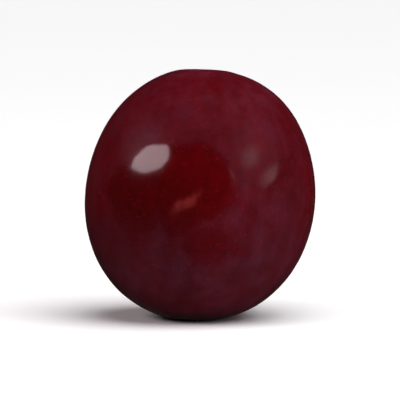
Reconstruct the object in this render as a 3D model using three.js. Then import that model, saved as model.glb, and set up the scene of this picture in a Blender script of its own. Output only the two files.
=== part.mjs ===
// A whole plum, as picked, with its stem pulled off, resting on a small flat spot.
//
// The fruit is one solid. Its skin is a sphere of directions moved out to the fruit's own form:
//   - a slightly tall round body with broad shoulders;
//   - a stem hollow on top, with the corky scar that the stem left at its bottom;
//   - a crease (the suture) that runs out of the stem hollow and down one side to the tip;
//   - a swell on each side of the crease, one fuller than the other, and gentle uneven bulges;
//   - a small dimple with the scar of the flower at the tip, on the underside.
// The stem's axis leans, as the fruit came to lie, and the skin is pressed flat where it rests.
//
// Units are millimetres, and angles are degrees. +Z is up, -Y is the front, and the origin is
// the middle of the fruit's outline on the surface that it rests on.

import * as THREE from "three";
import { mergeVertices } from "three/addons/utils/BufferGeometryUtils.js";

// The body.
const HEIGHT = 56.2; // along the stem's axis, shoulder to tip
const CREASE_DIAMETER = 49.8; // from the crease to the back
const CHEEK_DIAMETER = 49.2; // from cheek to cheek
const LOW_FULLNESS = 0.03; // share by which it is wider below its middle, and narrower above
const SHOULDER_FULLNESS = 0.07; // share by which the shoulders stand above an ellipse's
const TIP_FULLNESS = 0.06; // the same, round the tip

// The swells beside the crease: how far each stands out, the bearing of its middle from the
// crease, and its width.
const FULL_SWELL = { out: 0.75, bearing: 36, width: 24 };
const SLIGHT_SWELL = { out: 0.35, bearing: -34, width: 23 };

// The unevenness of the whole fruit: how far it stands out and in, over how many lobes, and the
// bearing of the first lobe. Slant is the one that fills a shoulder and the foot opposite it.
const BULGES = [
  { out: 0.3, lobes: 2, bearing: -26 },
  { out: 0.2, lobes: 3, bearing: 13 },
  { out: 0.1, lobes: 5, bearing: 40 },
];
const SLANT = { out: 0.2, bearing: -24 };

// The crease: a sharp fold in a broad valley, which wanders a little from side to side. Both are
// deepest at the shoulder, and what is left of each over the belly is a share of its depth.
const FOLD = { depth: 0.55, width: 1.5, belly: 0.4, deepest: 20, length: 30 };
const VALLEY = { depth: 0.9, width: 5.2, belly: 0.25, deepest: 17, length: 32 };
const CREASE_WANDER = 0.35;
const CREASE_WAVES = 0.7; // waves of the wander from the stem hollow to the tip
const CREASE_START = 2; // distance from the stem's axis where it starts, outside the stem's scar
const CREASE_FULL = 5.5; // and by which it has its full depth, there and at the tip

// The stem hollow and the scar in it: a corky ring round a small pit.
const HOLLOW_DEPTH = 5.5; // below the round body
const HOLLOW_WIDTH = 4.1; // radius by which it has lost two thirds of its depth
const HOLLOW_STEEPNESS = 2.6; // 2 is an even bowl, and more has a flatter bottom and steeper walls
const HOLLOW_STRETCH = 1.18; // how much wider it is towards the crease
const SCAR_RING = { height: 0.34, radius: 1.6, width: 0.7 };
const SCAR_PIT = { depth: 0.3, width: 0.8 };

// The tip: a shallow dimple with the small raised scar of the flower in its middle.
const TIP_DIMPLE = { depth: 0.5, width: 2.6 };
const TIP_SCAR = { height: 0.42, width: 0.8 };

// How the fruit lies. Bearings turn about +Z from +X, and the lean is the angle between the
// stem's axis and the upright, towards its own bearing.
const CREASE_BEARING = 14;
const LEAN = 11;
const LEAN_BEARING = 66;
const FLAT_SPOT_DEPTH = 0.72; // how far the resting skin is pressed in
const FLAT_SPOT_EDGE = 0.2; // height over which the flat spot's edge is rounded

// The mesh is an octahedron's, with two corners on the stem's axis and one on the crease.
const DETAIL = 32; // cuts along each of its edges
const POLE_CROWDING = 0.5; // 0 is even, and near 1 is much closer together at stem and tip
const CREASE_CROWDING = 0.5; // the same, along the crease
const WELD = 1e-4; // corners of the ball this close are one

const SKIN = { color: 0x4a0410, roughness: 0.36, metalness: 0.0 };

const STEM_AXIS = new THREE.Vector3(0, 0, 1); // in the fruit's own frame
const { degToRad: radians, smoothstep, lerp } = THREE.MathUtils;

// 1 at the middle of a rounded hill, falling to 0 a few widths away from it.
function hill(distance, width, steepness = 2) {
  return Math.exp(-(Math.abs(distance / width) ** steepness));
}

// The round body, before anything is pressed into it. turn is the angle down from the stem end,
// and bearing is the angle round the stem's axis from the crease, both in radians.
function bodyPoint(turn, bearing) {
  const fullness = turn < Math.PI / 2 ? SHOULDER_FULLNESS : TIP_FULLNESS;
  const across = Math.sin(turn) * (1 - LOW_FULLNESS * Math.cos(turn));
  const along = Math.cos(turn) * (1 + fullness * Math.sin(turn) ** 2);
  return new THREE.Vector3(
    (CREASE_DIAMETER / 2) * across * Math.cos(bearing),
    (CHEEK_DIAMETER / 2) * across * Math.sin(bearing),
    (HEIGHT / 2) * along,
  );
}

// How far the skin stands out from the round body. It dies away at the stem end and the tip.
function swelling(turn, bearing) {
  const round = Math.sin(turn);
  let out = SLANT.out * Math.sin(2 * turn) * Math.cos(bearing - radians(SLANT.bearing));
  for (const swell of [FULL_SWELL, SLIGHT_SWELL]) {
    out += swell.out * hill(bearing - radians(swell.bearing), radians(swell.width)) * round ** 2;
  }
  for (const bulge of BULGES) {
    out += bulge.out * Math.cos(bulge.lobes * (bearing - radians(bulge.bearing))) * round ** bulge.lobes;
  }
  return out;
}

// The depth of one form of the crease, the fold or the valley, at a distance to its side.
function creaseForm(form, turn, side) {
  const along = lerp(form.belly, 1, hill(turn - radians(form.deepest), radians(form.length)));
  return form.depth * along * hill(side, form.width);
}

// The depth of the crease below the skin beside it. It ends outside the stem's scar, and it runs
// out in the middle of the tip.
function creaseDepth(p, turn) {
  const start = p.z > 0 ? CREASE_START : 0;
  if (p.x <= start) return 0;
  const side = p.y - CREASE_WANDER * Math.sin(2 * CREASE_WAVES * turn);
  const depth = creaseForm(FOLD, turn, side) + creaseForm(VALLEY, turn, side);
  return depth * smoothstep(p.x, start, CREASE_FULL);
}

// The depth of the stem hollow, a rounded funnel about the stem's axis, with the scar in it.
function hollowDepth(p) {
  const out = Math.hypot(p.x > 0 ? p.x / HOLLOW_STRETCH : p.x, p.y);
  const funnel = HOLLOW_DEPTH * hill(out, HOLLOW_WIDTH, HOLLOW_STEEPNESS);
  const ring = SCAR_RING.height * hill(out - SCAR_RING.radius, SCAR_RING.width);
  const pit = SCAR_PIT.depth * hill(out, SCAR_PIT.width);
  return funnel - ring + pit;
}

// The depth of the dimple at the tip, with the scar in it.
function tipDepth(p) {
  const out = Math.hypot(p.x, p.y);
  return TIP_DIMPLE.depth * hill(out, TIP_DIMPLE.width) - TIP_SCAR.height * hill(out, TIP_SCAR.width);
}

// The finished skin in the fruit's own frame, with the stem's axis along +Z and the crease
// over +X.
function skinPoint(turn, bearing) {
  const p = bodyPoint(turn, bearing);
  const outwards = p.clone().normalize();
  p.addScaledVector(outwards, swelling(turn, bearing) - creaseDepth(p, turn));
  p.z += p.z > 0 ? -hollowDepth(p) : tipDepth(p);
  return p;
}

// 0 to 1 in even steps becomes 0 to 1 in steps that are closer together at both ends, or in the
// middle where amount is negative.
function crowded(share, amount) {
  return share - (amount * Math.sin(2 * Math.PI * share)) / (2 * Math.PI);
}

// The skin as one closed surface, in the fruit's own frame: a ball, with each of its points
// moved to where the skin is in that direction.
function skinGeometry() {
  const ball = new THREE.OctahedronGeometry(1, DETAIL);
  ball.deleteAttribute("normal");
  ball.deleteAttribute("uv");
  const skin = mergeVertices(ball, WELD);
  const position = skin.getAttribute("position");
  for (let i = 0; i < position.count; i++) {
    const direction = new THREE.Vector3().fromBufferAttribute(position, i);
    const turnShare = direction.angleTo(STEM_AXIS) / Math.PI;
    const bearingShare = Math.atan2(direction.y, direction.x) / (2 * Math.PI) + 0.5;
    const turn = Math.PI * crowded(turnShare, POLE_CROWDING);
    const bearing = 2 * Math.PI * (crowded(bearingShare, -CREASE_CROWDING) - 0.5);
    position.setXYZ(i, ...skinPoint(turn, bearing));
  }
  return skin;
}

// Turns the fruit to the way it lies: the crease to its bearing, and then the lean.
function lean(geometry) {
  const towards = radians(LEAN_BEARING);
  const axis = new THREE.Vector3(-Math.sin(towards), Math.cos(towards), 0);
  geometry.rotateZ(radians(CREASE_BEARING));
  geometry.applyMatrix4(new THREE.Matrix4().makeRotationAxis(axis, radians(LEAN)));
}

// The height of skin that was at this height above the flat spot's plane: what would lie below
// the plane is pressed up onto it, with a rounded edge all round.
function pressed(height) {
  if (height <= -FLAT_SPOT_EDGE) return 0;
  if (height >= FLAT_SPOT_EDGE) return height;
  return (height + FLAT_SPOT_EDGE) ** 2 / (4 * FLAT_SPOT_EDGE);
}

// Presses the fruit's lowest place flat at z = 0, and puts the origin in the middle of its
// outline.
function layDown(geometry) {
  geometry.computeBoundingBox();
  geometry.translate(0, 0, -geometry.boundingBox.min.z - FLAT_SPOT_DEPTH);
  const position = geometry.getAttribute("position");
  for (let i = 0; i < position.count; i++) position.setZ(i, pressed(position.getZ(i)));
  geometry.computeBoundingBox();
  const middle = geometry.boundingBox.getCenter(new THREE.Vector3());
  geometry.translate(-middle.x, -middle.y, 0);
  geometry.computeVertexNormals();
}

const skin = skinGeometry();
lean(skin);
layDown(skin);

const plum = new THREE.Mesh(skin, new THREE.MeshStandardMaterial(SKIN));
plum.name = "plum";

const part = new THREE.Group();
part.add(plum);

export default part;
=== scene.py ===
# A dark red plum on a pale floor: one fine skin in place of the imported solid, with its bloom,
# its glossy rubbed places, the corky scar of the stem and a streak of russet.
import math

import bmesh
import bpy
import numpy as np
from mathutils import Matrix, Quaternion, Vector, noise


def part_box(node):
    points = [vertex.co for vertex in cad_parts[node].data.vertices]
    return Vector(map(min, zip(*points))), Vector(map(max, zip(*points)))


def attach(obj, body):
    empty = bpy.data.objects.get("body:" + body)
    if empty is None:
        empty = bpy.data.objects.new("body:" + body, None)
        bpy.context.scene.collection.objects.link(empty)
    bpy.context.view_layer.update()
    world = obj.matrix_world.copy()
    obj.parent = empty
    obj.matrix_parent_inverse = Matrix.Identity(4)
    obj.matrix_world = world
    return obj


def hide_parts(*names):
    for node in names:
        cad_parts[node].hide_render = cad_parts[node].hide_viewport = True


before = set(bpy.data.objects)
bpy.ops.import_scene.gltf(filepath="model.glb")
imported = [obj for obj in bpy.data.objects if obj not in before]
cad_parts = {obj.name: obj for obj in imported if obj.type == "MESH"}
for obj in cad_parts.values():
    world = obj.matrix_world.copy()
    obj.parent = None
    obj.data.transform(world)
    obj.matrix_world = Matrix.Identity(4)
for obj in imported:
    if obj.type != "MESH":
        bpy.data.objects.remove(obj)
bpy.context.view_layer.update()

MM = 0.001
NODE = "plum"

# ---------------------------------------------------------------------------------------------
# The fruit's form, in millimetres and degrees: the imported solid's own dimensions. A turn is an
# angle down from the stem end, and a bearing is an angle round the stem's axis from the crease.
# ---------------------------------------------------------------------------------------------
HEIGHT = 56.2  # along the stem's axis, shoulder to tip
CREASE_DIAMETER = 49.8  # from the crease to the back
CHEEK_DIAMETER = 49.2  # from cheek to cheek
LOW_FULLNESS = 0.03  # share by which it is wider below its middle, and narrower above
SHOULDER_FULLNESS = 0.07  # share by which the shoulders stand above an ellipse's
TIP_FULLNESS = 0.06  # the same, round the tip

# The swells beside the crease and the unevenness of the whole fruit: how far each stands out,
# its bearing, and its width or its number of lobes. The slant fills a shoulder and the foot
# opposite it.
FULL_SWELL = dict(out=0.75, bearing=36, width=24)
SLIGHT_SWELL = dict(out=0.35, bearing=-34, width=23)
BULGES = [
    dict(out=0.3, lobes=2, bearing=-26),
    dict(out=0.2, lobes=3, bearing=13),
    dict(out=0.1, lobes=5, bearing=40),
]
SLANT = dict(out=0.2, bearing=-24)

# The crease: a sharp fold in a broad valley. Each is deepest at a turn from the stem end, fades
# over a length, and keeps a share of its depth over the belly.
FOLD = dict(depth=0.55, width=1.5, belly=0.4, deepest=20, length=30)
VALLEY = dict(depth=0.9, width=5.2, belly=0.25, deepest=17, length=32)
CREASE_WANDER = 0.35
CREASE_WAVES = 0.7  # waves of the wander from the stem hollow to the tip
CREASE_START = 2  # distance from the stem's axis where it starts, outside the stem's scar
CREASE_FULL = 5.5  # and by which it has its full depth, there and at the tip

HOLLOW_DEPTH = 5.5  # of the stem hollow, below the round body
HOLLOW_WIDTH = 4.1  # radius by which it has lost two thirds of its depth
HOLLOW_STEEPNESS = 2.6  # 2 is an even bowl, and more has steeper walls
HOLLOW_STRETCH = 1.18  # how much wider it is towards the crease
SCAR_RING_HEIGHT = 0.34
SCAR_RING_RADIUS = 1.6
SCAR_RING_WIDTH = 0.7
SCAR_PIT_DEPTH = 0.3
SCAR_PIT_WIDTH = 0.8

TIP_DIMPLE_DEPTH = 0.5
TIP_DIMPLE_WIDTH = 2.6
TIP_SCAR_HEIGHT = 0.42
TIP_SCAR_WIDTH = 0.8

# How it lies: these bearings turn about +Z from +X.
CREASE_BEARING = 14
LEAN = 11
LEAN_BEARING = 66
FLAT_SPOT_DEPTH = 0.72  # how far the resting skin is pressed in
FLAT_SPOT_EDGE = 0.2  # height over which the flat spot's edge is rounded

# ---------------------------------------------------------------------------------------------
# What the fine skin adds to the solid, in millimetres. Layers of noise are each a height, a
# wavelength and a seed.
# ---------------------------------------------------------------------------------------------
SKIN_CUTS = 122  # across each of the six charts that the skin is laid out on
CHART_GAP = 0.006  # share of a chart that stays free at its edge in the UV map
POLE_CROWDING = 0.42  # how much closer the mesh is at the stem end and the tip

SEED_OFFSET = Vector((17.3, 5.1, 9.7))  # between the places where two seeds take their noise
DENTS = [(0.12, 15, 10), (0.04, 6.5, 11), (0.012, 2.8, 12)]  # all over the skin

PUCKERS = 31  # fine folds of the skin round the stem's scar
PUCKER_HEIGHT = 0.05
PUCKER_RADIUS = 4.2
PUCKER_WIDTH = 1.7
PUCKER_WANDER = [(2.2, 3.0, 5)]
PUCKER_GROUPS = 7  # in which the folds are stronger and weaker, by a share of their height
PUCKER_VARIATION = 0.4

SCAR_RADIUS = 1.95  # of the corky patch
SCAR_RAGGED = [(0.32, 1.8, 1), (0.16, 0.7, 8)]  # of its edge
SCAR_SOFT_INSIDE = 0.3  # over which the cork gives way to skin, on each side of its edge
SCAR_SOFT_OUTSIDE = 0.2
SCAR_MIDDLE = 0.75  # radius of its dark middle
SCAR_FIBRES = 17  # that run out from its middle
SCAR_FIBRE_START = 0.6
SCAR_FIBRE_FULL = 1.3
SCAR_FIBRE_HEIGHT = 0.05
SCAR_FIBRE_SHADE = 0.55
SCAR_FIBRE_WANDER = [(2.6, 1.1, 2)]
SCAR_BREAKS = [(1, 0.8, 9)]  # noise by which its fibres and its rim are broken open
SCAR_CLOSED, SCAR_OPEN = -0.4, 0.5  # values of it at which they are closed and wide open
SCAR_RIM_INSET = 0.05  # from the edge of the scar
SCAR_RIM_WIDTH = 0.3
SCAR_RIM_DEPTH = 0.12  # of the groove where the skin ends round it
SCAR_RIM_OUTSET = 0.1  # of the groove, from the scar's mean radius
SCAR_RIM_SHADE = 0.45  # where the rim isn't broken open, out of 1 where it is
CORK_GRAIN_HEIGHT = 0.06
CORK_GRAIN = [(1, 0.6, 3), (0.6, 0.35, 4)]

# The streak of russet on the front cheek, seen from the front: its middle, half its length and
# width, and how steeply it rises to the right.
STREAK = dict(x=-2.9, z=27.8, length=4.6, width=1.55, rise=34)
STREAK_HEIGHT = 0.05
STREAK_BEND = 0.25
STREAK_RAGGED = [(0.22, 0.9, 6), (0.2, 2.0, 7)]
STREAK_FULL, STREAK_GONE = 0.2, 1.1  # shares of its reach where it starts to fade and ends

# The places on the front cheek where the bloom is rubbed off, seen from the front: the middle,
# half the length and width, how steeply it rises to the right, how soft its edge is above and
# below as a share of its reach, and how bare it is. The last two show the right-hand light.
GLOSSY_PLACES = [
    dict(x=-7.9, z=33.0, length=7.4, width=7.4, rise=0, soft_above=0.12, soft_below=0.2, bare=1.0),
    dict(x=-2.3, z=31.4, length=9.9, width=8.9, rise=0, soft_above=0.17, soft_below=0.25, bare=1.0),
    dict(x=-13.5, z=28.2, length=7.8, width=7.3, rise=0, soft_above=0.3, soft_below=0.7, bare=1.0),
    dict(x=-3.9, z=25.2, length=5.7, width=4.7, rise=0, soft_above=0.3, soft_below=0.5, bare=1.0),
    dict(x=2.0, z=19.0, length=5.2, width=4.2, rise=-30, soft_above=0.8, soft_below=0.8, bare=0.97),
    dict(x=10.8, z=37.2, length=4.2, width=3.2, rise=60, soft_above=0.95, soft_below=0.95, bare=0.66),
    dict(x=15.8, z=33.0, length=4.4, width=2.8, rise=45, soft_above=0.95, soft_below=0.95, bare=0.72),
]
GLOSSY_RAGGED = [(0.09, 8.0, 20), (0.05, 2.8, 21), (0.03, 1.3, 26)]

# The smears on the other sides, where some of the bloom is off.
SMEARS = (1, 13.0, 62)
SMEAR_EDGES = (0.35, 4.0, 23)
SMEAR_STRETCH = 0.5  # of lengths along the stem's axis, so that smears are longer that way
SMEAR_NONE, SMEAR_WHOLE = 0.0, 0.75  # values of both noises' sum where one starts and is whole
SMEAR_BARE = 0.6  # how bare the smears are
SMEAR_START = -21  # place along Y, behind the front cheek, where they start
SMEAR_FULL = -8  # and where they have their full strength

BLOOM_STREAKS = [(1, 2.6, 24), (0.6, 1.2, 25)]
BLOOM_STRETCH = 0.16  # of lengths along the stem's axis, as for the smears
BLOOM_STREAK_SPREAD = 0.7  # noise from minus this to this is spread over 0 to 1

# How far out from the stem and the tip their marks reach, how far the crease's painted shade
# reaches to its sides, the heights between which the skin turns from pale to dark, and the places
# across the fruit between which painted shade darkens its left side.
NEAR_STEM = 9.0
NEAR_TIP = 3.0
CREASE_SHADE = 0.75
LOW_START, LOW_END = -2.0, 20.0  # below the fruit's middle
PAINTED_SHADE_START, PAINTED_SHADE_END = -14.0, 22.0  # to the left of it

# ---------------------------------------------------------------------------------------------
# Colours, as linear red, green and blue.
# ---------------------------------------------------------------------------------------------
SHOULDER_GARNET = (0.065, 0.0004, 0.0012)
TIP_GARNET = (0.051, 0.0004, 0.0015)
# Painted shade in the crease.
CREASE_PAINTED_SHADE = (0.02, 0.001, 0.003)
PORE_PALE = (0.24, 0.05, 0.04)
BLOOM_HAZE = (0.36, 0.14, 0.3)
RUSSET_DARK = (0.14, 0.01, 0.008)
RUSSET_PALE = (0.21, 0.02, 0.017)
TIP_SCAR_BROWN = (0.06, 0.022, 0.012)
CORK_DARK = (0.1, 0.042, 0.023)
CORK_PALE = (0.19, 0.092, 0.05)
# The scar's brown middle, and painted shade in the gaps of its fibres and on its rim.
CORK_MIDDLE_AND_SHADE = (0.03, 0.012, 0.008)
SOFT_GLOSS_TINT = (1.0, 0.48, 0.64)  # of what the skin shows under its coat
ROSY_LEFT = (1.0, 0.87, 0.9)
ROSY_RIGHT = (1.0, 0.86, 0.92)
FLOOR_WHITE = (0.95, 0.95, 0.95)
ROOM_DIM = (0.015, 0.015, 0.015)
ROOM_BELOW = (0.05, 0.05, 0.05)
BACKGROUND = (1.0, 1.0, 1.0)

# ---------------------------------------------------------------------------------------------
# How the skin takes the light, and what its bloom and its marks do to it.
# ---------------------------------------------------------------------------------------------
# How rough it is where it is bare, and under what covers it.
BARE_ROUGHNESS = 0.14
BLOOM_ROUGHNESS = 0.44
RUSSET_ROUGHNESS = 0.55
CORK_ROUGHNESS = 0.85

# How it shines by itself, and how its gloss does, which is a clear coat over it.
SKIN_IOR = 1.4
SKIN_SHINE = 0.17
COAT_IOR = 1.46
COAT_ROUGHNESS = 0.1
COAT_UNDER_BLOOM = 0.01  # what is left of the coat where the bloom is whole

# How much of its colour each mark hides, and how much of it the crease's painted shade hides.
# The streak of russet hides its gloss as well.
CREASE_PAINTED_SHADE_STRENGTH = 0.4
PORE_STRENGTH = 0.16
RUSSET_STRENGTH = 0.6
TIP_RUSSET_STRENGTH = 0.3
TIP_SCAR_STRENGTH = 0.8
TIP_SCAR_EDGE = dict(low=0.9, high=0.97)  # in nearness to the tip, which is 1 in its middle

# How much of its colour the bloom hides, before it is made uneven: on the shoulders, and what
# is added towards the tip and next to the stem's scar.
BLOOM_STRENGTH = 0.03
BLOOM_STRENGTH_LOW = 0.012
BLOOM_STRENGTH_NEAR_STEM = 0.1
BLOOM_COVER_NEAR_STEM = 0.9  # how much of the skin it covers next to the scar
BLOOM_DULL = 0.7  # how much cover makes the skin as rough as bloom is
BLOOM_NO_COAT = 0.62  # and how much takes its coat away

# Straight lines that something is multiplied by: where each starts, and how far it rises.
SKIN_BY_PAINTED_SHADE = dict(slope=-0.17, start=1.06)  # the skin's brightness, darkened by painted shade towards the left
BLOOM_BY_PAINTED_SHADE = dict(slope=-0.45, start=1.15)  # the bloom's strength, thinned by painted shade towards the left
BLOOM_BY_STREAK = dict(slope=0.7, start=0.65)  # the bloom's strength, by its streaks

# Noise: its wavelength in millimetres, its detail and its distortion. Where it is spread, low
# and high values of it become others, which are 0 and 1 unless they are given.
SKIN_CLOUDS = dict(
    wavelength=24.0, detail=3.0, distortion=0.4, low=0.36, high=0.64, to_low=0.82, to_high=1.12
)
SKIN_MOTTLE = dict(wavelength=1.6, detail=4.0, low=0.3, high=0.7, to_low=0.88, to_high=1.12)
BLOOM_PATCHES = dict(wavelength=8.0, detail=2.5, distortion=0.6, low=0.3, high=0.72, to_low=0.4)
BLOOM_POWDER = dict(wavelength=0.6, detail=3.0, low=0.3, high=0.7, to_low=0.85, to_high=1.1)
CORK_SPECKS = dict(wavelength=0.35, detail=5.0, low=0.3, high=0.7)
RUSSET_SPECKS = dict(wavelength=0.5, detail=4.0)
SKIN_GRAIN = dict(wavelength=0.7, detail=3.0)

# The pores and the fine grain of the skin, in millimetres.
PORE_SPACING = 1.1
PORE_RADIUS = 0.19
GRAIN_HEIGHT = 0.02
PORE_RISE = 0.6  # share of the grain's height
GRAIN_STRENGTH = 0.6  # share of the tilt that such a height gives


def hill(distance, width, steepness=2):
    """1 at the middle of a rounded hill, falling to 0 a few widths away."""
    return np.exp(-(np.abs(distance / width) ** steepness))


def smoothstep(value, low, high):
    """0 below low and 1 above high, smooth between them."""
    share = np.clip((value - low) / (high - low), 0, 1)
    return share * share * (3 - 2 * share)


def crowded(share, amount):
    """Even steps from 0 to 1, drawn closer together at both ends."""
    return share - amount * np.sin(2 * np.pi * share) / (2 * np.pi)


def noise_at(points, height, wavelength, seed):
    """Smooth noise at each point, with bumps of that height and about one wavelength across."""
    offset = SEED_OFFSET * seed
    return height * np.array([noise.noise(Vector(p) / wavelength + offset) for p in points.tolist()])


def layered_noise(points, layers):
    """The noise of several layers together."""
    return sum(noise_at(points, *layer) for layer in layers)


def stretched(points, stretch):
    """Points in the fruit's own frame, drawn together along the stem's axis."""
    return points * np.array([1.0, 1.0, stretch])


# ---------------------------------------------------------------------------------------------
# The form, in the fruit's own frame: the stem's axis along +Z and the crease over +X.
# ---------------------------------------------------------------------------------------------
def body_points(turn, bearing):
    """The round body, before anything is pressed into it."""
    fullness = np.where(turn < np.pi / 2, SHOULDER_FULLNESS, TIP_FULLNESS)
    across = np.sin(turn) * (1 - LOW_FULLNESS * np.cos(turn))
    along = np.cos(turn) * (1 + fullness * np.sin(turn) ** 2)
    return np.stack(
        [
            CREASE_DIAMETER / 2 * across * np.cos(bearing),
            CHEEK_DIAMETER / 2 * across * np.sin(bearing),
            HEIGHT / 2 * along,
        ],
        axis=1,
    )


def swelling(turn, bearing):
    """How far the skin stands out from the round body."""
    around = np.sin(turn)
    out = SLANT["out"] * np.sin(2 * turn) * np.cos(bearing - math.radians(SLANT["bearing"]))
    for swell in (FULL_SWELL, SLIGHT_SWELL):
        aside = bearing - math.radians(swell["bearing"])
        out += swell["out"] * hill(aside, math.radians(swell["width"])) * around**2
    for bulge in BULGES:
        aside = bearing - math.radians(bulge["bearing"])
        out += bulge["out"] * np.cos(bulge["lobes"] * aside) * around ** bulge["lobes"]
    return out


def crease_side(points, turn):
    """Distance from the bottom of the crease, signed, where it isn't on the far side."""
    return points[:, 1] - CREASE_WANDER * np.sin(2 * CREASE_WAVES * turn)


def crease_form(turn, side, depth, width, belly, deepest, length):
    """The depth of one form of the crease, the fold or the valley, at a distance to its side."""
    fullest = hill(turn - math.radians(deepest), math.radians(length))
    return depth * (belly + (1 - belly) * fullest) * hill(side, width)


def crease_fade(points):
    """1 along the crease, falling to 0 outside the stem's scar, in the tip and on the far side."""
    start = np.where(points[:, 2] > 0, CREASE_START, 0)
    return np.where(points[:, 0] > start, smoothstep(points[:, 0], start, CREASE_FULL), 0)


def crease_depth(points, turn):
    side = crease_side(points, turn)
    depth = crease_form(turn, side, **FOLD) + crease_form(turn, side, **VALLEY)
    return depth * crease_fade(points)


def hollow_out(points):
    """Distance from the stem's axis, in a hollow that is stretched towards the crease."""
    x = np.where(points[:, 0] > 0, points[:, 0] / HOLLOW_STRETCH, points[:, 0])
    return np.hypot(x, points[:, 1])


def hollow_depth(out):
    """The stem hollow with the ring and the pit of the scar in it."""
    funnel = HOLLOW_DEPTH * hill(out, HOLLOW_WIDTH, HOLLOW_STEEPNESS)
    ring = SCAR_RING_HEIGHT * hill(out - SCAR_RING_RADIUS, SCAR_RING_WIDTH)
    pit = SCAR_PIT_DEPTH * hill(out, SCAR_PIT_WIDTH)
    return funnel - ring + pit


def tip_depth(out):
    """The dimple at the tip with the flower's scar in it."""
    dimple = TIP_DIMPLE_DEPTH * hill(out, TIP_DIMPLE_WIDTH)
    return dimple - TIP_SCAR_HEIGHT * hill(out, TIP_SCAR_WIDTH)


def laid_down(points):
    """Turns points from the fruit's own frame to the way it lies, still about its middle."""
    crease = math.radians(CREASE_BEARING)
    towards = math.radians(LEAN_BEARING)
    cos, sin = math.cos(math.radians(LEAN)), math.sin(math.radians(LEAN))
    tip_over = np.array([[cos, 0, sin], [0, 1, 0], [-sin, 0, cos]])
    turning = about_z(towards) @ tip_over @ about_z(-towards) @ about_z(crease)
    return points @ turning.T


def about_z(angle):
    """The turning about +Z by an angle."""
    cos, sin = math.cos(angle), math.sin(angle)
    return np.array([[cos, -sin, 0], [sin, cos, 0], [0, 0, 1]])


def pressed(height):
    """Presses skin below the flat spot's plane up onto it, with a rounded edge."""
    edge = FLAT_SPOT_EDGE
    rounded = (height + edge) ** 2 / (4 * edge)
    return np.where(height <= -edge, 0, np.where(height >= edge, height, rounded))


# ---------------------------------------------------------------------------------------------
# The fine relief of the skin.
# ---------------------------------------------------------------------------------------------
def cork_share(top, out, edge):
    """1 on the corky scar of the stem and 0 off it."""
    return np.where(top, 1 - smoothstep(out, edge - SCAR_SOFT_INSIDE, edge + SCAR_SOFT_OUTSIDE), 0)


def scar_shade(own, bearing, top, out, edge):
    """0 to 1, where the scar is dark: its middle, brown and with painted shade in its pit, and
    painted shade in the gaps of its fibres and on its torn rim.
    """
    wander = layered_noise(own, SCAR_FIBRE_WANDER)
    fibres = smoothstep(np.cos(SCAR_FIBRES * bearing + wander), 0, 1)
    fibres *= smoothstep(out, SCAR_FIBRE_START, SCAR_FIBRE_FULL)
    broken = smoothstep(layered_noise(own, SCAR_BREAKS), SCAR_CLOSED, SCAR_OPEN)
    rim = hill(out - edge + SCAR_RIM_INSET, SCAR_RIM_WIDTH)
    rim *= SCAR_RIM_SHADE + (1 - SCAR_RIM_SHADE) * broken
    middle = hill(out, SCAR_MIDDLE)
    return np.maximum(SCAR_FIBRE_SHADE * fibres * broken, np.maximum(rim, middle)) * top


def scar_relief(own, top, out, cork, shade):
    """The fibres and grain of the scar, and the groove of its rim."""
    grain = CORK_GRAIN_HEIGHT * layered_noise(own, CORK_GRAIN)
    groove = SCAR_RIM_DEPTH * hill(out - SCAR_RADIUS - SCAR_RIM_OUTSET, SCAR_RIM_WIDTH) * top
    return cork * (grain - SCAR_FIBRE_HEIGHT * shade) - groove


def pucker_relief(own, bearing, top, out):
    """The fine folds that draw together round the scar."""
    folds = np.cos(PUCKERS * bearing + layered_noise(own, PUCKER_WANDER))
    strength = 1 - PUCKER_VARIATION + PUCKER_VARIATION * np.cos(PUCKER_GROUPS * bearing)
    return PUCKER_HEIGHT * folds * strength * hill(out - PUCKER_RADIUS, PUCKER_WIDTH) * top


def turned_from_front(lying, x, z, rise):
    """How far points are along and across a line that rises through a place on the front."""
    rise = math.radians(rise)
    right = lying[:, 0] - x
    up = lying[:, 2] - z
    along = right * math.cos(rise) + up * math.sin(rise)
    return along, up * math.cos(rise) - right * math.sin(rise)


def streak_share(lying, x, z, length, width, rise):
    """1 along the streak of russet on the front cheek, ragged at its edge."""
    along, across = turned_from_front(lying, x, z, rise)
    across += STREAK_BEND * np.sin(along)
    reach = np.hypot(along / length, across / width) + layered_noise(lying, STREAK_RAGGED)
    return np.where(lying[:, 1] < 0, 1 - smoothstep(reach, STREAK_FULL, STREAK_GONE), 0)


# ---------------------------------------------------------------------------------------------
# Where the bloom is off, and how it lies.
# ---------------------------------------------------------------------------------------------
def glossy_place(lying, ragged, x, z, length, width, rise, soft_above, soft_below, bare):
    """How bare one place on the front is: 0 outside it and on the back."""
    along, across = turned_from_front(lying, x, z, rise)
    reach = np.hypot(along / length, across / width) + ragged
    soft = np.where(across < 0, soft_below, soft_above)
    place = bare * (1 - smoothstep(reach, 1 - soft, 1 + soft))
    return np.where(lying[:, 1] < 0, place, 0)


def rubbed_share(lying, own):
    """1 where the bloom is rubbed off: the glossy front cheek, and smears on the other sides."""
    smears = noise_at(stretched(own, SMEAR_STRETCH), *SMEARS) + noise_at(lying, *SMEAR_EDGES)
    behind = smoothstep(lying[:, 1], SMEAR_START, SMEAR_FULL)
    rubbed = SMEAR_BARE * smoothstep(smears, SMEAR_NONE, SMEAR_WHOLE) * behind
    ragged = layered_noise(lying, GLOSSY_RAGGED)
    for place in GLOSSY_PLACES:
        rubbed = np.maximum(rubbed, glossy_place(lying, ragged, **place))
    return rubbed


def bloom_streaks(own):
    """0 to 1, in soft streaks that run from the stem to the tip."""
    streaks = layered_noise(stretched(own, BLOOM_STRETCH), BLOOM_STREAKS)
    return smoothstep(streaks, -BLOOM_STREAK_SPREAD, BLOOM_STREAK_SPREAD)


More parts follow.
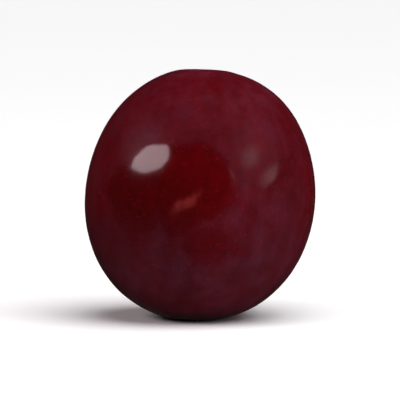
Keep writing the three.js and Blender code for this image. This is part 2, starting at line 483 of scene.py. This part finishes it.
# ---------------------------------------------------------------------------------------------
# The skin as a mesh, with what its material needs to know kept on its points.
# ---------------------------------------------------------------------------------------------
def chart_grid():
    """A cube cut into squares, as a new mesh: the six charts of the skin."""
    bm = bmesh.new()
    bmesh.ops.create_cube(bm, size=2)
    bmesh.ops.subdivide_edges(bm, edges=bm.edges[:], cuts=SKIN_CUTS, use_grid_fill=True)
    mesh = bpy.data.meshes.new("plum_skin")
    bm.to_mesh(mesh)
    bm.free()
    return mesh


def mesh_points(mesh):
    """The places of a mesh's points, one row each."""
    points = np.empty(len(mesh.vertices) * 3)
    mesh.vertices.foreach_get("co", points)
    return points.reshape(-1, 3)


def add_chart_map(mesh, cube):
    """A UV map with the six charts side by side, three across and two up."""
    uv = mesh.uv_layers.new(name="OFBake").uv
    corner_points = np.empty(len(mesh.loops), np.int32)
    mesh.loops.foreach_get("vertex_index", corner_points)
    corners = cube[corner_points].reshape(-1, 4, 3)
    middle = corners.mean(axis=1)
    axis = np.abs(middle).argmax(axis=1)
    positive = middle[np.arange(len(middle)), axis] > 0
    across = np.take_along_axis(corners, ((axis + 1) % 3)[:, None, None], axis=2)[..., 0]
    up = np.take_along_axis(corners, ((axis + 2) % 3)[:, None, None], axis=2)[..., 0]
    across = np.where(positive[:, None], across, -across)
    filled = 1 - 2 * CHART_GAP
    u = (axis[:, None] + CHART_GAP + filled * (across + 1) / 2) / 3
    v = (positive[:, None] + CHART_GAP + filled * (up + 1) / 2) / 2
    uv.foreach_set("vector", np.stack([u, v], axis=2).astype(np.float32).ravel())


def keep(mesh, name, values):
    """Keeps one number for each point, for the material to read."""
    attribute = mesh.attributes.new(name, "FLOAT", "POINT")
    attribute.data.foreach_set("value", values.astype(np.float32))


def directions(cube):
    """The turn and the bearing of each of the charts' points."""
    ball = np.tan(cube * np.pi / 4)
    ball /= np.linalg.norm(ball, axis=1)[:, None]
    turn = np.pi * crowded(np.arccos(np.clip(ball[:, 2], -1, 1)) / np.pi, POLE_CROWDING)
    return turn, np.arctan2(ball[:, 1], ball[:, 0])


def creased_body(turn, bearing):
    """The skin with its swells, crease and dents, and which way is outwards at each point."""
    own = body_points(turn, bearing)
    outwards = own / np.linalg.norm(own, axis=1)[:, None]
    own += outwards * (swelling(turn, bearing) - crease_depth(own, turn))[:, None]
    for dents in DENTS:
        own += outwards * noise_at(own, *dents)[:, None]
    return own, outwards


def rested(own):
    """Lays the fruit down, presses its lowest place flat and sets it where the solid is."""
    lying = laid_down(own)
    lying[:, 2] = pressed(lying[:, 2] - lying[:, 2].min() - FLAT_SPOT_DEPTH)
    low, high = (np.array(corner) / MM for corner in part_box(NODE))
    lying[:, :2] += (low + high)[:2] / 2 - (lying.min(axis=0) + lying.max(axis=0))[:2] / 2
    return lying


def make_skin():
    mesh = chart_grid()
    cube = mesh_points(mesh)
    add_chart_map(mesh, cube)
    turn, bearing = directions(cube)
    own, outwards = creased_body(turn, bearing)

    top = own[:, 2] > 0
    out = hollow_out(own)
    edge = SCAR_RADIUS + layered_noise(own, SCAR_RAGGED)
    cork = cork_share(top, out, edge)
    shade = scar_shade(own, bearing, top, out, edge)
    relief = scar_relief(own, top, out, cork, shade) + pucker_relief(own, bearing, top, out)
    tip_out = np.hypot(own[:, 0], own[:, 1])
    own[:, 2] += np.where(top, relief - hollow_depth(out), tip_depth(tip_out))

    lying = rested(own)
    streak = streak_share(lying, **STREAK)
    lying += laid_down(outwards) * (STREAK_HEIGHT * streak)[:, None]
    mesh.vertices.foreach_set("co", (lying * MM).astype(np.float32).ravel())
    mesh.update()
    mesh.shade_smooth()

    keep(mesh, "cork", cork)
    # The scar's brown middle, and painted shade in its gaps and on its rim.
    keep(mesh, "scar_shade", shade)
    keep(mesh, "streak", streak)
    # Painted shade along the crease.
    keep(mesh, "crease", hill(crease_side(own, turn), CREASE_SHADE) * crease_fade(own))
    keep(mesh, "near_stem", np.where(top, hill(out, NEAR_STEM), 0))
    keep(mesh, "near_tip", np.where(top, 0, hill(tip_out, NEAR_TIP)))
    keep(mesh, "rubbed", rubbed_share(lying, own))
    keep(mesh, "bloom_streaks", bloom_streaks(own))
    keep(mesh, "low", smoothstep(-own[:, 2], LOW_START, LOW_END))
    # Painted shade: how far to the left each point is, where the skin and its bloom are darkened.
    keep(mesh, "painted_shade_left", smoothstep(-lying[:, 0], PAINTED_SHADE_START, PAINTED_SHADE_END))

    skin = bpy.data.objects.new("plum_skin", mesh)
    bpy.context.scene.collection.objects.link(skin)
    return skin


# ---------------------------------------------------------------------------------------------
# The skin's material.
# ---------------------------------------------------------------------------------------------
# A Mix node's sockets for colours go by number: those for its other kinds of value have the
# same names.
MIX_SHARE, MIX_A, MIX_B = 0, 6, 7
MIX_RESULT = 2


class Nodes:
    """Short calls for the few kinds of node that the materials use. A value that is fed to one
    is a number, a colour or another node's output."""

    def __init__(self, tree):
        self.tree = tree
        tree.nodes.clear()

    def add(self, kind, **settings):
        node = self.tree.nodes.new(kind)
        for name, value in settings.items():
            setattr(node, name, value)
        return node

    def feed(self, socket, value):
        if isinstance(value, bpy.types.NodeSocket):
            self.tree.links.new(value, socket)
        elif isinstance(value, tuple):
            socket.default_value = (*value, 1.0)
        else:
            socket.default_value = value

    def point(self, name):
        """The number that the mesh keeps for each point under this name."""
        return self.add("ShaderNodeAttribute", attribute_name=name).outputs["Fac"]

    def math(self, operation, *values):
        node = self.add("ShaderNodeMath", operation=operation)
        for socket, value in zip(node.inputs, values):
            self.feed(socket, value)
        return node.outputs[0]

    def times(self, a, b):
        return self.math("MULTIPLY", a, b)

    def greater(self, a, b):
        return self.math("MAXIMUM", a, b)

    def rest_of(self, share):
        """What is left of 1."""
        return self.math("SUBTRACT", 1.0, share)

    def line(self, value, slope, start):
        """A straight line: start where the value is 0, and start and slope together at 1."""
        return self.math("MULTIPLY_ADD", value, slope, start)

    def spread(self, value, low, high, to_low=0.0, to_high=1.0):
        """A smooth step from to_low, where the value is low, to to_high where it is high."""
        node = self.add("ShaderNodeMapRange", interpolation_type="SMOOTHSTEP")
        self.feed(node.inputs["Value"], value)
        self.feed(node.inputs["From Min"], low)
        self.feed(node.inputs["From Max"], high)
        self.feed(node.inputs["To Min"], to_low)
        self.feed(node.inputs["To Max"], to_high)
        return node.outputs[0]

    def mix(self, share, a, b, blend="MIX"):
        """Colour a, with a share of colour b mixed in."""
        node = self.add("ShaderNodeMix", data_type="RGBA", blend_type=blend)
        self.feed(node.inputs[MIX_SHARE], share)
        self.feed(node.inputs[MIX_A], a)
        self.feed(node.inputs[MIX_B], b)
        return node.outputs[MIX_RESULT]

    def noise(self, place, wavelength, detail, distortion=0.0):
        node = self.add("ShaderNodeTexNoise")
        self.feed(node.inputs["Vector"], place)
        self.feed(node.inputs["Scale"], 1 / (wavelength * MM))
        self.feed(node.inputs["Detail"], detail)
        self.feed(node.inputs["Distortion"], distortion)
        return node.outputs["Fac"]

    def patches(self, place, wavelength, detail, distortion=0.0, **spread):
        """Noise, spread from one range of values to another."""
        return self.spread(self.noise(place, wavelength, detail, distortion), **spread)

    def dots(self, place, spacing, radius, core=0.45):
        """1 in the core of scattered round dots, a share of their radius, and 0 outside."""
        node = self.add("ShaderNodeTexVoronoi")
        self.feed(node.inputs["Vector"], place)
        self.feed(node.inputs["Scale"], 1 / (spacing * MM))
        low, high = core * radius / spacing, radius / spacing
        return self.spread(node.outputs["Distance"], low, high, to_low=1.0, to_high=0.0)


def bare_skin(nodes, place, pores):
    """Garnet, darker towards the tip, mottled, with pale pores and painted shade on the left and in
    the crease.
    """
    skin = nodes.mix(nodes.point("low"), SHOULDER_GARNET, TIP_GARNET)
    # Painted shade darkens the left side.
    side = nodes.line(nodes.point("painted_shade_left"), **SKIN_BY_PAINTED_SHADE)
    clouds = nodes.times(nodes.patches(place, **SKIN_CLOUDS), side)
    brightness = nodes.times(clouds, nodes.patches(place, **SKIN_MOTTLE))
    skin = nodes.mix(1.0, skin, brightness, blend="MULTIPLY")
    # Painted shade in the crease.
    skin = nodes.mix(nodes.times(nodes.point("crease"), CREASE_PAINTED_SHADE_STRENGTH), skin, CREASE_PAINTED_SHADE)
    return nodes.mix(nodes.times(pores, PORE_STRENGTH), skin, PORE_PALE)


def bloom_cover(nodes, place, unrubbed, round_stem):
    """0 to 1, where the bloom lies: in patches on the cheeks, and unbroken round the stem."""
    return nodes.greater(nodes.times(unrubbed, nodes.patches(place, **BLOOM_PATCHES)), round_stem)


def bloom_thickness(nodes, place):
    """How much the bloom hides: a pale waxy film, thick near the stem, thin and streaky on the
    cheeks, and thinned by painted shade towards the left."""
    thickness = nodes.line(nodes.point("low"), BLOOM_STRENGTH_LOW, BLOOM_STRENGTH)
    thickness = nodes.line(nodes.point("near_stem"), BLOOM_STRENGTH_NEAR_STEM, thickness)
    streaks = nodes.line(nodes.point("bloom_streaks"), **BLOOM_BY_STREAK)
    # Painted shade thins the bloom towards the left side.
    side = nodes.line(nodes.point("painted_shade_left"), **BLOOM_BY_PAINTED_SHADE)
    uneven = nodes.times(nodes.patches(place, **BLOOM_POWDER), streaks)
    return nodes.times(nodes.times(thickness, uneven), side)


def with_russet(nodes, place, skin, streak):
    """Russet on the streak and round the tip, and the dry scar of the flower."""
    near_tip = nodes.point("near_tip")
    russet = nodes.mix(nodes.noise(place, **RUSSET_SPECKS), RUSSET_DARK, RUSSET_PALE)
    skin = nodes.mix(nodes.times(streak, RUSSET_STRENGTH), skin, russet)
    skin = nodes.mix(nodes.times(near_tip, TIP_RUSSET_STRENGTH), skin, russet)
    tip_scar = nodes.spread(near_tip, **TIP_SCAR_EDGE)
    return nodes.mix(nodes.times(tip_scar, TIP_SCAR_STRENGTH), skin, TIP_SCAR_BROWN)


def with_cork(nodes, place, skin, cork):
    """Grained cork on the stem's scar, with its brown middle and painted shade in its gaps and on its
    rim.
    """
    cork_colour = nodes.mix(nodes.patches(place, **CORK_SPECKS), CORK_DARK, CORK_PALE)
    # Brown middle and painted shade in the scar's gaps and on its rim.
    cork_colour = nodes.mix(nodes.point("scar_shade"), cork_colour, CORK_MIDDLE_AND_SHADE)
    return nodes.mix(cork, skin, cork_colour)


def grain_bump(nodes, place, pores):
    """The skin's direction, tilted by its fine grain and the pores."""
    grain = nodes.noise(place, **SKIN_GRAIN)
    bump = nodes.add("ShaderNodeBump")
    nodes.feed(bump.inputs["Height"], nodes.math("ADD", grain, nodes.times(pores, PORE_RISE)))
    nodes.feed(bump.inputs["Strength"], GRAIN_STRENGTH)
    nodes.feed(bump.inputs["Distance"], GRAIN_HEIGHT * MM)
    return bump.outputs[0]


def skin_material():
    material = bpy.data.materials.new("plum_skin")
    material.use_nodes = True
    nodes = Nodes(material.node_tree)
    place = nodes.add("ShaderNodeTexCoord").outputs["Object"]
    cork = nodes.point("cork")
    streak = nodes.point("streak")
    pores = nodes.dots(place, PORE_SPACING, PORE_RADIUS)
    unrubbed = nodes.rest_of(nodes.point("rubbed"))
    round_stem = nodes.times(nodes.point("near_stem"), BLOOM_COVER_NEAR_STEM)
    cover = bloom_cover(nodes, place, unrubbed, round_stem)

    skin = bare_skin(nodes, place, pores)
    skin = nodes.mix(nodes.times(cover, bloom_thickness(nodes, place)), skin, BLOOM_HAZE)
    skin = with_russet(nodes, place, skin, streak)
    skin = with_cork(nodes, place, skin, cork)

    rough = nodes.spread(cover, 0.0, BLOOM_DULL, to_low=BARE_ROUGHNESS, to_high=BLOOM_ROUGHNESS)
    rough = nodes.greater(rough, nodes.times(streak, RUSSET_ROUGHNESS))
    rough = nodes.greater(rough, nodes.times(cork, CORK_ROUGHNESS))

    # The gloss is a coat, where the skin is bare of bloom, russet and cork.
    dry = nodes.greater(cork, nodes.times(streak, RUSSET_STRENGTH))
    bloom = nodes.greater(unrubbed, round_stem)
    bare = nodes.spread(bloom, 0.0, BLOOM_NO_COAT, to_low=1.0, to_high=COAT_UNDER_BLOOM)
    gloss = nodes.times(bare, nodes.rest_of(dry))

    shader = nodes.add("ShaderNodeBsdfPrincipled")
    nodes.feed(shader.inputs["Base Color"], skin)
    nodes.feed(shader.inputs["Roughness"], rough)
    nodes.feed(shader.inputs["Normal"], grain_bump(nodes, place, pores))
    nodes.feed(shader.inputs["Coat Weight"], gloss)
    nodes.feed(shader.inputs["IOR"], SKIN_IOR)
    nodes.feed(shader.inputs["Specular IOR Level"], SKIN_SHINE)
    nodes.feed(shader.inputs["Specular Tint"], SOFT_GLOSS_TINT)
    nodes.feed(shader.inputs["Coat Roughness"], COAT_ROUGHNESS)
    nodes.feed(shader.inputs["Coat IOR"], COAT_IOR)
    output = nodes.add("ShaderNodeOutputMaterial")
    nodes.feed(output.inputs["Surface"], shader.outputs[0])
    return material


# ---------------------------------------------------------------------------------------------
# The studio: a pale floor, two faintly rosy soft boxes in front, and even light from above.
# Sizes are in metres, and angles in degrees.
# ---------------------------------------------------------------------------------------------
AIM = Vector((0, 0, 26.0)) * MM  # where the camera and the soft boxes point
CAMERA_ELEVATION = 5.5
CAMERA_DISTANCE = 0.9
VIEW_SIZE = 88 * MM  # across the picture, at the fruit
CLIP_START = 0.01
CLIP_END = 200
SOFT_BOXES = [
    dict(
        name="soft_box_left", left=67.8, up=33.4, distance=0.6,
        width=0.47, height=0.25, turn=7, radiance=4.9, tint=ROSY_LEFT,
    ),
    dict(
        name="soft_box_right", left=-63, up=26, distance=0.7,
        width=0.66, height=0.48, turn=0, radiance=1.55, tint=ROSY_RIGHT,
    ),
]
FLOOR_REACH = 40.0
FLOOR_ROUGHNESS = 0.9
FLOOR_SHINE = 0.1
SKY_STRENGTH = 3.4
SKY_SOFTNESS = 70
SKY_TILT = (12, 20, 0)


def make_camera():
    data = bpy.data.cameras.new("camera")
    data.sensor_fit = "HORIZONTAL"
    data.angle = 2 * math.atan(VIEW_SIZE / 2 / CAMERA_DISTANCE)
    data.clip_start = CLIP_START
    data.clip_end = CLIP_END
    camera = bpy.data.objects.new("camera", data)
    up = math.radians(CAMERA_ELEVATION)
    camera.location = AIM + CAMERA_DISTANCE * Vector((0, -math.cos(up), math.sin(up)))
    camera.rotation_euler = (math.radians(90) - up, 0, 0)
    bpy.context.scene.collection.objects.link(camera)
    bpy.context.scene.camera = camera


def make_soft_box(name, left, up, distance, width, height, turn, radiance, tint):
    """An area light that faces the fruit, so many degrees to the left of the front and up, and
    turned about its own middle."""
    data = bpy.data.lights.new(name, "AREA")
    data.shape = "ELLIPSE"
    data.size = width
    data.size_y = height
    area = math.pi / 4 * width * height
    data.energy = radiance * area * math.pi
    data.color = tint
    light = bpy.data.objects.new(name, data)
    left, up = math.radians(left), math.radians(up)
    away = Vector((-math.sin(left) * math.cos(up), -math.cos(left) * math.cos(up), math.sin(up)))
    light.location = AIM + away * distance
    turned = Quaternion((0, 0, 1), math.radians(turn))
    light.rotation_euler = (away.to_track_quat("Z", "Y") @ turned).to_euler()
    bpy.context.scene.collection.objects.link(light)


def make_sky():
    """A broad light from above, which the fruit's gloss doesn't show."""
    data = bpy.data.lights.new("sky", "SUN")
    data.energy = SKY_STRENGTH
    data.angle = math.radians(SKY_SOFTNESS)
    sky = bpy.data.objects.new("sky", data)
    sky.rotation_euler = [math.radians(angle) for angle in SKY_TILT]
    sky.visible_glossy = False
    bpy.context.scene.collection.objects.link(sky)


def make_world():
    """Dim all round, paler downwards for the fruit's gloss, and as pale as the floor where the
    background shows."""
    world = bpy.data.worlds.new("studio")
    bpy.context.scene.world = world
    world.use_nodes = True
    nodes = Nodes(world.node_tree)
    height = nodes.add("ShaderNodeSeparateXYZ")
    nodes.feed(height.inputs[0], nodes.add("ShaderNodeTexCoord").outputs["Generated"])
    below = nodes.spread(height.outputs["Z"], low=-1.0, high=0.0, to_low=1.0, to_high=0.0)
    room = nodes.mix(below, ROOM_DIM, ROOM_BELOW)
    seen = nodes.add("ShaderNodeLightPath").outputs["Is Camera Ray"]
    background = nodes.add("ShaderNodeBackground")
    nodes.feed(background.inputs["Color"], nodes.mix(seen, room, BACKGROUND))
    output = nodes.add("ShaderNodeOutputWorld")
    nodes.feed(output.inputs["Surface"], background.outputs[0])


def floor_material():
    material = bpy.data.materials.new("floor")
    material.use_nodes = True
    nodes = Nodes(material.node_tree)
    shader = nodes.add("ShaderNodeBsdfPrincipled")
    nodes.feed(shader.inputs["Base Color"], FLOOR_WHITE)
    nodes.feed(shader.inputs["Roughness"], FLOOR_ROUGHNESS)
    nodes.feed(shader.inputs["Specular IOR Level"], FLOOR_SHINE)
    output = nodes.add("ShaderNodeOutputMaterial")
    nodes.feed(output.inputs["Surface"], shader.outputs[0])
    return material


def make_floor():
    """A wide pale floor, which the fruit's gloss doesn't show."""
    mesh = bpy.data.meshes.new("floor")
    reach = FLOOR_REACH
    corners = [(-reach, -reach, 0), (reach, -reach, 0), (reach, reach, 0), (-reach, reach, 0)]
    mesh.from_pydata(corners, [], [(0, 1, 2, 3)])
    mesh.materials.append(floor_material())
    floor = bpy.data.objects.new("floor", mesh)
    floor.visible_glossy = False
    bpy.context.scene.collection.objects.link(floor)


make_camera()
for soft_box in SOFT_BOXES:
    make_soft_box(**soft_box)
make_sky()
make_world()
make_floor()
bpy.context.scene.view_settings.view_transform = "Standard"

skin = make_skin()
skin.data.materials.append(skin_material())
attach(skin, "root")
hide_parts(NODE)
